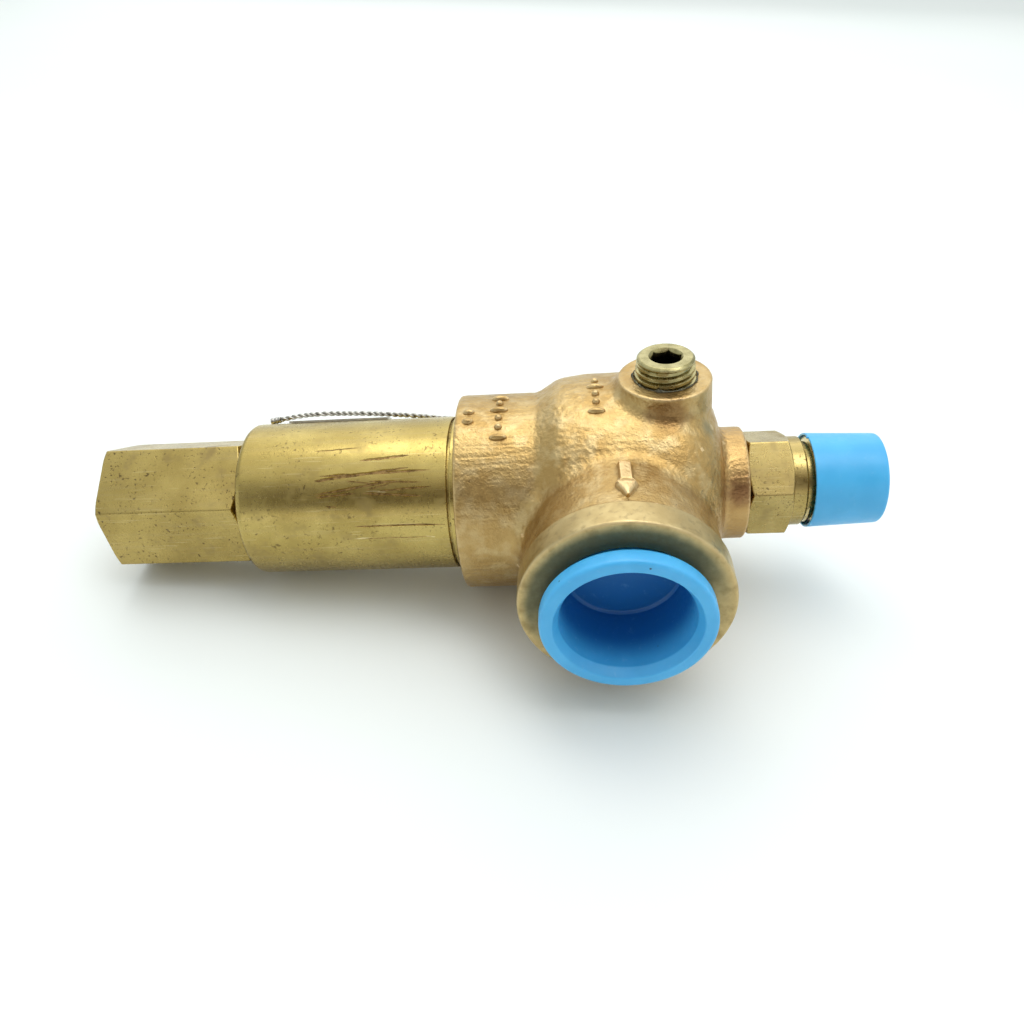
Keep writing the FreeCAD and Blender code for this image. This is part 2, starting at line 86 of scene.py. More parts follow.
BODY_LOW, BODY_HIGH = box_mm("cast_body")
BONNET_LOW, BONNET_HIGH = box_mm("bonnet")
CAP_LOW, CAP_HIGH = box_mm("hex_cap")
PLUG_LOW, PLUG_HIGH = box_mm("outlet_plug")
DRAIN_LOW, DRAIN_HIGH = box_mm("drain_plug")
SEALANT_LOW, SEALANT_HIGH = box_mm("thread_sealant")
INLET_CAP_LOW, INLET_CAP_HIGH = box_mm("inlet_cap")
NOZZLE_LOW = box_mm("nozzle")[0]
RING_LOW, RING_HIGH = box_mm("bonnet_seal_ring")
SPRING_LOW, SPRING_HIGH = box_mm("main_spring")

OUTLET_X = (PLUG_LOW.x + PLUG_HIGH.x) / 2       # the outlet's axis
DRAIN_X = (DRAIN_LOW.x + DRAIN_HIGH.x) / 2      # the drain plug's axis
OUTLET_FACE = -BODY_LOW.y                       # from the valve axis to the outlet's face
OUTLET_BAND = OUTLET_FACE - 6.6                 # where the turned band behind it begins
BAND_R = 22.74                                  # radius of that band
COLLAR_FACE = RING_HIGH.x                       # the casting's end, against the seal ring
INLET_COLLAR_FACE = BODY_HIGH.x
DRAIN_FACE = SEALANT_LOW.z - 0.02
BONNET_R = BONNET_HIGH.z
BONNET_FACE = RING_LOW.x
BONNET_TOP = box_mm("cap_gasket")[1].x

# (origin, direction, where angle 0 points, where angle 90 points) of each axis that pieces are turned on
AXES = {
    "valve": ((0, 0, 0), (1, 0, 0), (0, -1, 0), (0, 0, 1)),
    "outlet": ((OUTLET_X, 0, 0), (0, -1, 0), (1, 0, 0), (0, 0, 1)),
    "drain": ((DRAIN_X, 0, 0), (0, 0, 1), (1, 0, 0), (0, 1, 0)),
}
HAND = {"valve": -1, "outlet": 1, "drain": 1}    # which way the angle runs for a right-hand thread

# the seal wire from its hole in the collar to its ferrule: (x from the outlet's axis, radius, angle)
WIRE_ROUTE = [
    (-34.3, 20.90, 154.0),
    (-40.2, 20.70, 151.5),
    (-48.2, 20.25, 141.0),
    (-56.5, 20.55, 135.5),
    (-65.0, 20.90, 132.2),
    (-73.5, 21.05, 131.2),
    (-79.7, 20.70, 130.8),
    (-84.0, 20.00, 131.4),
]
WIRE_R = 0.66

# tool marks cut into the bonnet: (x from, angle from, x to, angle to, depth), x from the outlet's axis
SCRATCHES = [
    (-70.0, 71.5, -59.5, 73.2, 0.14), (-59.0, 62.3, -47.6, 65.4, 0.34), (-69.6, 48.2, -47.6, 55.8, 0.30),
    (-68.2, 51.6, -42.6, 53.4, 0.28), (-69.4, 47.6, -62.0, 50.8, 0.22), (-69.4, 38.2, -50.6, 46.8, 0.26),
    (-69.4, 36.6, -59.8, 38.4, 0.25), (-58.2, 38.2, -44.2, 35.2, 0.25), (-54.2, 39.8, -42.4, 41.6, 0.20),
    (-56.6, 46.5, -44.6, 45.0, 0.18), (-66.9, 29.6, -64.6, 29.2, 0.16), (-60.8, 14.4, -39.6, 14.0, 0.24),
    (-59.6, 4.0, -43.2, 4.5, 0.09), (-57.4, 40.6, -50.8, 45.4, 0.13), (-62.0, 47.4, -54.4, 44.2, 0.11),
]


def around(x, radius, angle):
    """A point at a radius from the valve axis, its angle in degrees from -Y up over +Z."""
    turn = math.radians(angle)
    return Vector((x, -radius * math.cos(turn), radius * math.sin(turn)))


# ---- camera
def add_camera():
    """The camera stands in front of the outlet, above the valve, and looks down at it."""
    data = bpy.data.cameras.new("camera")
    data.sensor_width = 36.0
    data.lens = 28.45
    data.clip_start = 0.01
    camera = bpy.data.objects.new("camera", data)
    camera.location = (-0.06888, -0.15963, 0.12083)
    camera.rotation_euler = [math.radians(a) for a in (51.333, 4.357, 2.498)]
    bpy.context.scene.collection.objects.link(camera)
    bpy.context.scene.camera = camera


# ---- mesh building
def softened(corners, soft=0.15, steps=4):
    """An outline's (distance, radius) points, rounded; a third value sets a corner's own radius."""
    points = []
    for i, corner in enumerate(corners):
        here = Vector(corner[:2])
        radius = corner[2] if len(corner) > 2 else soft
        back = Vector(corners[i - 1][:2]) - here
        ahead = Vector(corners[(i + 1) % len(corners)][:2]) - here
        straight = min(back.length, ahead.length) < 1e-6 or back.angle(ahead) > math.pi - 0.02
        if here.y == 0 or radius == 0 or straight:
            points.append(here)
            continue
        reach = min(radius / math.tan(back.angle(ahead) / 2), 0.45 * back.length, 0.45 * ahead.length)
        start, end = here + back.normalized() * reach, here + ahead.normalized() * reach
        for s in range(steps + 1):
            t = s / steps
            points.append(start * (1 - t) ** 2 + here * 2 * t * (1 - t) + end * t ** 2)
    return [(p.x, p.y) for p in points]


def split_rows(points, step, low, high):
    """More points on the stretches of an outline whose radius lies between low and high."""
    rows = []
    for i, (a, r) in enumerate(points):
        rows.append((a, r))
        b, s = points[(i + 1) % len(points)]
        if max(r, s) < low or min(r, s) > high:
            continue
        count = int(math.hypot(b - a, s - r) / step)
        rows += [(a + (b - a) * k / (count + 1), r + (s - r) * k / (count + 1))
                 for k in range(1, count + 1)]
    return rows


def on_axis(axis, distance, radius, angle):
    """Points at distances along an axis, radii and angles, as an array of rows."""
    base, along, cosine, sine = (np.array(v, float) for v in AXES[axis])
    across = radius * np.cos(angle), radius * np.sin(angle)
    return base + np.outer(distance, along) + np.outer(across[0], cosine) + np.outer(across[1], sine)


def tube_faces(rings, sides):
    """Faces of a tube through rings of points, closed at both ends."""
    last = (rings - 1) * sides
    faces = [(i + k, i + (k + 1) % sides, i + sides + (k + 1) % sides, i + sides + k)
             for i in range(0, last, sides) for k in range(sides)]
    return faces + [tuple(range(sides))[::-1], tuple(range(last, last + sides))]


def loft(rows, angles, axis):
    """A closed surface through rings of (distance, radius), either of which may differ round the ring."""
    n, m = len(angles), len(rows)
    points = [on_axis(axis, np.broadcast_to(a, n), np.broadcast_to(r, n), angles) for a, r in rows]
    faces = []
    for i in range(m):
        j = (i + 1) % m
        faces += [(i * n + k, i * n + (k + 1) % n, j * n + (k + 1) % n, j * n + k) for k in range(n)]
    return np.concatenate(points), faces


def turned(corners, axis="valve", steps=192, soft=0.15):
    """A solid turned about an axis from an outline of (distance, radius, corner radius)."""
    angles = np.linspace(0, 2 * math.pi, steps, endpoint=False)
    return loft(softened(corners, soft), angles, axis)


def hexagon_radii(angles, across_flats, corner, wear=120):
    """Radius of a hexagon with worn corners at each angle; a lower wear number is a rounder corner."""
    turn = angles - math.radians(corner + 30)
    total = sum(np.maximum(np.cos(turn - k * math.pi / 3), 0) ** wear for k in range(6))
    return across_flats / 2 / total ** (1 / wear)


def hexagon_angles(corner):
    """Angles round a hexagon, close together at its corners."""
    near = [0, 0.35, 0.8, 1.4, 2.4, 4, 7, 11, 16, 22]
    offsets = sorted({-o for o in near} | set(near)) + [30]
    return np.radians([corner + 60 * k + o for k in range(6) for o in offsets])


def hexagonal(corners, across_flats, corner, wear):
    """A turned outline whose outside is cut to a hexagon, as on a hexagon bar with chamfered ends."""
    angles = hexagon_angles(corner)
    flats = hexagon_radii(angles, across_flats, corner, wear)
    rows = []
    for a, r in split_rows(softened(corners), 0.35, across_flats * 0.47, across_flats):
        if r > across_flats * 0.44:
            r = (flats ** -wear + r ** -float(wear)) ** (-1 / wear)
        rows.append((a, r))
    return loft(rows, angles, "valve")


def thread_ridge(start, end, root, crest, pitch, axis, taper=0.0, flat=0.06):
    """A helical ridge on a turned surface; its radius grows by taper for each millimetre along."""
    per_turn, half_base = 72, 0.46 * pitch
    count = int((end - start - 2 * half_base) / pitch * per_turn)
    station = np.arange(count + 1)
    along = start + half_base + station * pitch / per_turn
    fade = np.clip(np.minimum(station, count - station) / (0.3 * per_turn), 0.02, 1)
    angles = HAND[axis] * 2 * math.pi * station / per_turn
    sunk = 0.08 * (root - crest) / abs(root - crest)
    rings = []
    for share, height in ((-0.46, 0), (-flat, 1), (flat, 1), (0.46, 0)):
        radius = root + sunk + taper * (along - start) + (crest - root - sunk) * height * fade
        rings.append(on_axis(axis, along + share * pitch, radius, angles))
    points = np.stack(rings, axis=1).reshape(-1, 3)
    return points, tube_faces(count + 1, 4)


def headings(points):
    """Unit direction of a line of points at each of them."""
    heading = np.gradient(points, axis=0)
    return heading / np.linalg.norm(heading, axis=1)[:, None]


def swept(points, radius, sides=10):
    """A round tube along points; radius is one number or one for each point."""
    points = np.asarray(points, float)
    heading = headings(points)
    side = np.cross(heading[0], (0.31, 0.17, 0.94))
    radii = np.broadcast_to(radius, len(points))
    rings = []
    for p, h, r in zip(points, heading, radii):
        side = side - h * side.dot(h)
        side /= np.linalg.norm(side)
        other = np.cross(h, side)
        turn = np.linspace(0, 2 * math.pi, sides, endpoint=False)
        rings.append(p + r * (np.outer(np.cos(turn), side) + np.outer(np.sin(turn), other)))
    return np.concatenate(rings), tube_faces(len(points), sides)


def merged(*parts):
    """Several (points, faces) pairs as one."""
    points, faces, start = [], [], 0
    for part_points, part_faces in parts:
        points.append(part_points)
        faces += [tuple(start + v for v in face) for face in part_faces]
        start += len(part_points)
    return np.concatenate(points), faces


def mesh_of(name, shape):
    """A clean mesh in metres from (points, faces) in millimetres."""
    points, faces = shape
    mesh = bpy.data.meshes.new(name)
    mesh.from_pydata((points * MM).tolist(), [], faces)
    work = bmesh.new()
    work.from_mesh(mesh)
    bmesh.ops.remove_doubles(work, verts=work.verts, dist=2e-7)
    bmesh.ops.dissolve_degenerate(work, edges=work.edges, dist=1e-7)
    bmesh.ops.recalc_face_normals(work, faces=work.faces)
    work.to_mesh(mesh)
    work.free()
    return mesh


def add_object(name, mesh):
    obj = bpy.data.objects.new(name, mesh)
    bpy.context.scene.collection.objects.link(obj)
    return obj


def dress(obj, material, body, slot, *replaced, sharp=40):
    """Smooth shading, material and body of a new piece, and the CAD nodes it stands for, which it hides;
    slot is not used.
    """
    mesh = obj.data
    mesh.polygons.foreach_set("use_smooth", [True] * len(mesh.polygons))
    mesh.set_sharp_from_angle(angle=math.radians(sharp))
    if not mesh.materials:
        mesh.materials.append(material)
    weighted = obj.modifiers.new("weighted_normals", "WEIGHTED_NORMAL")
    weighted.keep_sharp = True
    if body:
        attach(obj, body)
    if replaced:
        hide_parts(*replaced)
    return obj


def add_piece(name, shape, material, body, slot, *replaced, sharp=40):
    return dress(add_object(name, mesh_of(name, shape)), material, body, slot, *replaced, sharp=sharp)


def applied(obj):
    """The object's mesh with its modifiers applied."""
    graph = bpy.context.evaluated_depsgraph_get()
    mesh = bpy.data.meshes.new_from_object(obj.evaluated_get(graph))
    obj.modifiers.clear()
    return mesh


def coordinates(mesh):
    """A mesh's points in millimetres as an array."""
    flat = np.empty(len(mesh.vertices) * 3)
    mesh.vertices.foreach_get("co", flat)
    return flat.reshape(-1, 3) / MM


# ---- material building
class Paint:
    """A material in the making: a principled shader and the nodes that feed it, in millimetres."""

    def __init__(self, name, metallic=0.0, **sockets):
        self.material = bpy.data.materials.new(name)
        self.material.use_nodes = True
        self.tree = self.material.node_tree
        self.shader = self.tree.nodes["Principled BSDF"]
        self.shader.inputs["Metallic"].default_value = metallic
        for socket, value in sockets.items():
            self.shader.inputs[socket.replace("_", " ")].default_value = value
        metres = self.node("ShaderNodeTexCoord").outputs["Object"]
        self.place = self.vector("MULTIPLY", metres, (1 / MM,) * 3)

    def node(self, kind, **settings):
        made = self.tree.nodes.new(kind)
        for key, value in settings.items():
            setattr(made, key, value)
        return made

    def feed(self, socket, value):
        """Link a socket to another, or set it."""
        if isinstance(value, bpy.types.NodeSocket):
            self.tree.links.new(value, socket)
        else:
            socket.default_value = value

    def vector(self, operation, first, second=None):
        made = self.node("ShaderNodeVectorMath", operation=operation)
        self.feed(made.inputs[0], first)
        if second is not None:
            self.feed(made.inputs[1], second)
        return made.outputs["Value" if operation == "LENGTH" else "Vector"]

    def math(self, operation, first, second=0.0):
        made = self.node("ShaderNodeMath", operation=operation)
        self.feed(made.inputs[0], first)
        self.feed(made.inputs[1], second)
        return made.outputs[0]

    def split(self, vector):
        made = self.node("ShaderNodeSeparateXYZ")
        self.feed(made.inputs[0], vector)
        return made.outputs

    def stretched(self, x, y, z):
        """Place with each direction scaled."""
        return self.vector("MULTIPLY", self.place, (x, y, z))

    def noise(self, size, low=0.0, high=1.0, place=None, detail=3.0, roughness=0.55, distortion=0.0,
              shift=0.0):
        """Noise of a size in millimetres, mapped so that low becomes 0 and high becomes 1."""
        made = self.node("ShaderNodeTexNoise")
        source = place or self.place
        if shift:
            source = self.vector("ADD", source, (shift, shift * 0.7, -shift))
        self.feed(made.inputs["Vector"], source)
        for socket, value in (("Scale", 1 / size), ("Detail", detail), ("Roughness", roughness),
                              ("Distortion", distortion)):
            made.inputs[socket].default_value = value
        return self.remap(made.outputs[0], low, high) if (low, high) != (0.0, 1.0) else made.outputs[0]

    def cells(self, size):
        """Distance from scattered points that stand a size in millimetres apart."""
        made = self.node("ShaderNodeTexVoronoi")
        self.feed(made.inputs["Vector"], self.place)
        made.inputs["Scale"].default_value = 1 / size
        return made.outputs[0]

    def remap(self, value, low, high, to_low=0.0, to_high=1.0):
        """A value mapped smoothly from low..high to to_low..to_high."""
        made = self.node("ShaderNodeMapRange", interpolation_type="SMOOTHSTEP")
        ends = {"From Min": low, "From Max": high, "To Min": to_low, "To Max": to_high}
        for socket, number in ends.items():
            made.inputs[socket].default_value = number
        self.feed(made.inputs["Value"], value)
        return made.outputs[0]

    def distance(self, point, within=(1, 1, 1)):
        """Distance from a point in millimetres, in the directions that within keeps."""
        away = self.vector("SUBTRACT", self.place, tuple(point))
        return self.vector("LENGTH", self.vector("MULTIPLY", away, within))

    def near(self, point, reach, soft):
        """1 at a point in millimetres, falling to 0 at reach, with a ragged edge."""
        uneven = self.math("MULTIPLY", self.noise(reach * 0.45, detail=5, roughness=0.62), reach * 0.9)
        ragged = self.math("ADD", self.distance(point), uneven)
        return self.remap(ragged, reach * 1.45, reach * 1.45 - soft)

    def mix(self, share, first, second):
        made = self.node("ShaderNodeMix", data_type="RGBA")
        self.feed(made.inputs[0], share)
        for socket, value in ((made.inputs[6], first), (made.inputs[7], second)):
            self.feed(socket, (*value, 1) if isinstance(value, tuple) else value)
        return made.outputs[2]

    def tint(self, colour, share, amount, other):
        """The colour with another laid over it, by the amount where share is 1."""
        return self.mix(self.math("MULTIPLY", share, amount), colour, other)

    def bump(self, height, distance, normal=None):
        """Bump whose height of 1 stands the distance in millimetres proud."""
        made = self.node("ShaderNodeBump")
        made.inputs["Distance"].default_value = distance * MM
        self.feed(made.inputs["Height"], height)
        if normal is not None:
            self.feed(made.inputs["Normal"], normal)
        return made.outputs[0]

    def crease(self, low, high):
        """Share of convex edges: 0 where the surface is hollow, 1 on worn edges."""
        made = self.node("ShaderNodeNewGeometry")
        return self.remap(made.outputs["Pointiness"], low, high)

    def finish(self, colour=None, roughness=None, normal=None):
        for socket, value in (("Base Color", colour), ("Roughness", roughness), ("Normal", normal)):
            if value is not None:
                self.feed(self.shader.inputs[socket], value)
        return self.material


# ---- materials
def cast_bronze():
    """Sand-cast bronze, shot-blasted: golden on its high spots, with painted highlights in pale golden
    patches and painted shade in its hollows.
    """
    paint = Paint("cast_bronze", metallic=1.0)
    x, y, z = paint.split(paint.place)
    colour = paint.mix(paint.noise(13, 0.36, 0.66), (0.415, 0.264, 0.094), (0.49, 0.337, 0.136))
    # paler golden patches scattered by noise: painted highlights
    colour = paint.mix(paint.noise(3.6, 0.42, 0.72, detail=5, shift=9), colour, (0.55, 0.405, 0.195))
    patches = paint.noise(1.3, 0.58, 0.80, detail=5, shift=31)
    colour = paint.tint(colour, patches, 0.6, (0.31, 0.185, 0.065))
    copper = paint.math("MULTIPLY", paint.remap(x, OUTLET_X + 20, OUTLET_X + 25), 0.75)
    colour = paint.mix(copper, colour, (0.50, 0.315, 0.125))
    # mostly painted shade, with a little stain, on the front of the inlet collar near its end
    shade_and_stain = paint.near(around(INLET_COLLAR_FACE - 2, 13.6, 28), 5.5, 4.5)
    colour = paint.tint(colour, shade_and_stain, 0.75, (0.22, 0.10, 0.05))
    boss = paint.near((DRAIN_X, -9.5, DRAIN_FACE - 4), 6.0, 3.5)
    colour = paint.tint(colour, boss, 0.75, (0.24, 0.130, 0.050))
    # painted shade: darker brown where the surface is hollow
    hollow = paint.crease(0.497, 0.455)
    colour = paint.tint(colour, hollow, 0.7, (0.20, 0.12, 0.055))
    worn = paint.crease(0.515, 0.56)
    colour = paint.tint(colour, worn, 0.6, (0.90, 0.68, 0.38))
    green = paint.near((OUTLET_X - 20.5, -17.5, 8.5), 3.6, 3.0)
    more_green = paint.near((OUTLET_X + 19, -9, 21.5), 3.4, 3.0)
    green = paint.math("MAXIMUM", green, paint.math("MULTIPLY", more_green, 0.7))
    colour = paint.tint(colour, green, 0.7, (0.13, 0.155, 0.105))
    specks = paint.noise(1.6, 0.70, 0.74, detail=4, distortion=0.4, shift=77)
    colour = paint.tint(colour, specks, 0.7, (0.10, 0.06, 0.03))
    roughness = paint.noise(2.2, 0.25, 0.8, detail=4, shift=4)
    roughness = paint.remap(roughness, 0, 1, 0.32, 0.45)
    normal = paint.bump(paint.noise(0.75, detail=3, roughness=0.6), 0.17)
    normal = paint.bump(paint.noise(0.30, detail=2), 0.03, normal=normal)
    return paint.finish(colour, roughness, normal)


def outlet_bronze():
    """Turned bronze of the outlet: pale band, olive face, and verdigris where the plug sat, darkened with
    painted shade from the plug.
    """
    paint = Paint("outlet_bronze", metallic=1.0)
    x, y, z = paint.split(paint.place)
    colour = paint.mix(paint.noise(7, 0.35, 0.68), (0.46, 0.345, 0.160), (0.57, 0.445, 0.220))
    colour = paint.mix(paint.noise(1.6, 0.5, 0.75, detail=5), colour, (0.36, 0.270, 0.130))
    on_face = paint.remap(y, -OUTLET_FACE + 0.45, -OUTLET_FACE + 0.1)
    face = paint.mix(paint.noise(2.8, 0.4, 0.7, detail=5), (0.62, 0.480, 0.235), (0.46, 0.345, 0.155))
    colour = paint.mix(on_face, colour, face)
    radius = paint.distance((OUTLET_X, 0, 0), (1, 0, 1))
    rim = paint.remap(radius, BAND_R - 1.0, BAND_R - 0.5)
    radius = paint.math("ADD", radius, paint.noise(5, detail=4, shift=3))
    # darker olive on the face round the plug, strongest at the top: verdigris with painted shade from the
    # plug
    inner = paint.remap(radius, 22.6, 20.4)
    upper = paint.remap(paint.math("ADD", z, paint.math("MULTIPLY", x, -0.35)), 12, 30, 0.12, 1.0)
    green = paint.math("MULTIPLY", paint.math("MULTIPLY", inner, upper), on_face)
    colour = paint.tint(colour, green, 0.9, (0.165, 0.160, 0.095))
    threads = paint.remap(radius, 16.8, 16.3)
    colour = paint.tint(colour, threads, 0.6, (0.30, 0.22, 0.10))
    edge = paint.math("MULTIPLY", paint.crease(0.52, 0.58), rim)
    colour = paint.tint(colour, edge, 0.7, (0.93, 0.80, 0.56))
    rings = paint.noise(0.5, place=paint.stretched(0.04, 1.6, 0.04), detail=3)
    roughness = paint.remap(paint.noise(1.5, detail=4), 0.3, 0.7, 0.36, 0.50)
    roughness = paint.math("ADD", roughness, paint.math("MULTIPLY", on_face, 0.22))
    normal = paint.bump(rings, 0.012)
    normal = paint.bump(paint.noise(0.5, detail=4), 0.02, normal=normal)
    return paint.finish(colour, roughness, normal)


def turned_brass(name, pale, deep, specks=0.5, haze=0.5, pit_band=None):
    """Handled brass: turning marks round the axis, brown haze, dark specks and light rubs along it."""
    paint = Paint(name, metallic=1.0)
    x, y, z = paint.split(paint.place)
    colour = paint.mix(paint.noise(11, 0.34, 0.68, detail=4), deep, pale)
    streaks = paint.noise(1.0, 0.45, 0.75, place=paint.stretched(0.05, 0.9, 0.9), detail=4, shift=5)
    colour = paint.tint(colour, streaks, 0.35, (0.42, 0.32, 0.14))
    cloud = paint.noise(5.5, 0.52, 0.74, detail=6, roughness=0.62, shift=17)
    colour = paint.tint(colour, cloud, haze, (0.24, 0.17, 0.085))
    crowd = paint.noise(9, 0.40, 0.62, detail=3, shift=23)
    if pit_band is not None:
        away = paint.math("ABSOLUTE", paint.math("SUBTRACT", x, pit_band))
        crowd = paint.math("MAXIMUM", crowd, paint.remap(away, 2.2, 0.4))
    small = paint.noise(0.65, 0.615, 0.67, detail=2, distortion=0.5, shift=51)
    large = paint.noise(2.2, 0.655, 0.70, detail=5, roughness=0.6, distortion=0.4, shift=67)
    spots = paint.math("MULTIPLY", paint.math("MULTIPLY", small, crowd), specks)
    spots = paint.math("MAXIMUM", spots, paint.math("MULTIPLY", large, specks))
    colour = paint.mix(spots, colour, (0.085, 0.052, 0.025))
    edge = paint.crease(0.53, 0.60)
    colour = paint.tint(colour, edge, 0.55, (0.92, 0.78, 0.45))
    rubs = paint.noise(0.35, 0.66, 0.74, place=paint.stretched(0.035, 1.0, 1.0), detail=1, shift=41)
    colour = paint.tint(colour, rubs, 0.2, (0.90, 0.76, 0.44))
    roughness = paint.remap(paint.math("ADD", cloud, paint.noise(1.2, detail=4)), 0.3, 1.3, 0.26, 0.42)
    rings = paint.noise(0.16, place=paint.stretched(1.0, 0.012, 0.012), detail=2)
    normal = paint.bump(rings, 0.005)
    normal = paint.bump(paint.noise(0.9, detail=4), 0.010, normal=normal)
    normal = paint.bump(paint.math("SUBTRACT", 1.0, spots), 0.03, normal=normal)
    return paint.finish(colour, roughness, normal)


def groove_metal():
    """Tarnish in the bottom of a deep scratch."""
    paint = Paint("scratch_tarnish", metallic=1.0)
    colour = paint.mix(paint.noise(1.2, 0.3, 0.7), (0.16, 0.095, 0.04), (0.42, 0.27, 0.11))
    return paint.finish(colour, 0.5, paint.bump(paint.noise(0.2), 0.02))


def steel(name, pale, deep, roughness=0.3, rust=0.2, size=1.0):
    """Drawn, ground or plated steel with a little brown in it."""
    paint = Paint(name, metallic=1.0)
    colour = paint.mix(paint.noise(2.5 * size, 0.35, 0.68, detail=4), deep, pale)
    brown = paint.noise(1.1 * size, 0.56, 0.76, detail=6, roughness=0.65, shift=13)
    colour = paint.tint(colour, brown, rust, (0.16, 0.10, 0.05))
    edge = paint.crease(0.53, 0.62)
    colour = paint.tint(colour, edge, 0.5, (0.84, 0.82, 0.72))
    rough = paint.noise(0.8 * size, detail=4, shift=3)
    rough = paint.remap(rough, 0.3, 0.7, roughness - 0.06, roughness + 0.1)
    normal = paint.bump(paint.noise(0.35 * size, detail=3), 0.012 * size)
    return paint.finish(colour, rough, normal)


def zinc_plating():
    """Yellow zinc, clean on top, with painted shade in its thread grooves and deep in its socket."""
    paint = Paint("yellow_zinc", metallic=1.0)
    x, y, z = paint.split(paint.place)
    colour = paint.mix(paint.noise(2.2, 0.35, 0.68), (0.31, 0.268, 0.122), (0.45, 0.395, 0.200))
    # painted shade: near black in the thread grooves
    hollow = paint.crease(0.505, 0.46)
    colour = paint.tint(colour, hollow, 0.95, (0.060, 0.040, 0.018))
    # painted shade: darker deeper down the hex socket
    socket = paint.remap(paint.distance((DRAIN_X, 0, 0), (1, 1, 0)), 4.4, 3.9)
    deep = paint.remap(z, DRAIN_HIGH.z - 0.7, DRAIN_HIGH.z - 2.0)
    colour = paint.tint(colour, socket, deep, (0.045, 0.035, 0.022))
    roughness = paint.remap(paint.noise(1.1), 0.3, 0.7, 0.24, 0.34)
    return paint.finish(colour, roughness, paint.bump(paint.noise(0.5), 0.008))


def blue_plastic(name, cup=False):
    """Soft moulded polyethylene, waxy, with rubs and specks of dirt; a cup has painted shade inside, in
    deeper blue.
    """
    paint = Paint(name, IOR=1.51, Subsurface_Weight=0.12, Subsurface_Scale=0.0012)
    paint.shader.inputs["Subsurface Radius"].default_value = (0.25, 0.6, 1.0)
    colour = paint.mix(paint.noise(9, 0.35, 0.68), (0.058, 0.41, 0.78), (0.074, 0.455, 0.84))
    if cup:
        y = paint.split(paint.place)[1]
        # painted shade: deeper, darker blue inside the cup, darkest far in
        cavity = paint.remap(paint.distance((OUTLET_X, 0, 0), (1, 0, 1)), 14.6, 14.3)
        cavity = paint.math("MULTIPLY", cavity, paint.remap(y, PLUG_HIGH.y - 0.3, PLUG_HIGH.y - 1.1))
        deep = paint.math("MULTIPLY", cavity, paint.remap(y, PLUG_LOW.y + 3.0, PLUG_LOW.y + 10.5))
        colour = paint.mix(deep, colour, (0.008, 0.150, 0.44))
    rubbed = paint.noise(1.4, 0.56, 0.80, detail=6, roughness=0.62, distortion=0.6, shift=8)
    colour = paint.tint(colour, rubbed, 0.22, (0.25, 0.58, 0.88))
    dirt = paint.remap(paint.cells(7.5), 0.045, 0.02)
    colour = paint.tint(colour, dirt, 0.85, (0.012, 0.018, 0.03))
    roughness = paint.remap(paint.noise(1.0, detail=5, shift=2), 0.3, 0.75, 0.30, 0.46)
    normal = paint.bump(paint.noise(3.0, detail=3), 0.03)
    normal = paint.bump(paint.noise(0.30, detail=3), 0.006, normal=normal)
    return paint.finish(colour, roughness, normal)


def matt(name, pale, deep, roughness, relief, size=1.0):
    """Rubber, fibre, polymer or set paste with its own grain."""
    paint = Paint(name, Specular_IOR_Level=0.3)
    colour = paint.mix(paint.noise(1.0 * size, 0.35, 0.7, detail=5), deep, pale)
    rough = paint.remap(paint.noise(0.6 * size), 0.3, 0.7, roughness - 0.08, roughness + 0.08)
    return paint.finish(colour, rough, paint.bump(paint.noise(0.35 * size, detail=4), relief))


def floor_white():
    """Matt white sweep that the valve lies on."""
    paint = Paint("sweep", Roughness=0.65)
    colour = paint.mix(paint.noise(400, 0.3, 0.7), (0.80, 0.835, 0.815), (0.825, 0.85, 0.835))
    return paint.finish(colour)


BRONZE = cast_bronze()
OUTLET_BRONZE = outlet_bronze()
BONNET_BRASS = turned_brass("bonnet_brass", (0.51, 0.390, 0.128), (0.40, 0.296, 0.090),
                            specks=0.6, haze=0.35)
CAP_BRASS = turned_brass("cap_brass", (0.47, 0.350, 0.115), (0.375, 0.272, 0.084), specks=0.85, haze=0.55,
                         pit_band=CAP_LOW.x + 9.5)
NOZZLE_BRASS = turned_brass("nozzle_brass", (0.50, 0.380, 0.145), (0.38, 0.280, 0.095),
                            specks=0.7, haze=0.45)
TARNISH = groove_metal()
PLATED = zinc_plating()
INNER_STEEL = steel("ground_steel", (0.62, 0.61, 0.58), (0.46, 0.45, 0.43), roughness=0.26, rust=0.15)
WIRE_STEEL = steel("seal_wire_steel", (0.58, 0.56, 0.52), (0.30, 0.28, 0.25), roughness=0.32, rust=0.45,
                   size=0.5)
PLATE_METAL = steel("blank_plate", (0.50, 0.47, 0.42), (0.34, 0.30, 0.25), roughness=0.42, rust=0.35)
BLUE = blue_plastic("blue_plastic")
CUP_BLUE = blue_plastic("blue_cup_plastic", cup=True)
SEALANT = matt("set_sealant", (0.20, 0.19, 0.13), (0.050, 0.048, 0.032), 0.70, 0.10, size=0.7)
FIBRE = matt("gasket_fibre", (0.20, 0.14, 0.09), (0.10, 0.07, 0.045), 0.8, 0.05)
RUBBER = matt("seal_rubber", (0.030, 0.030, 0.032), (0.015, 0.015, 0.016), 0.5, 0.01)
POLYMER = matt("seat_polymer", (0.80, 0.79, 0.75), (0.70, 0.68, 0.63), 0.4, 0.01)


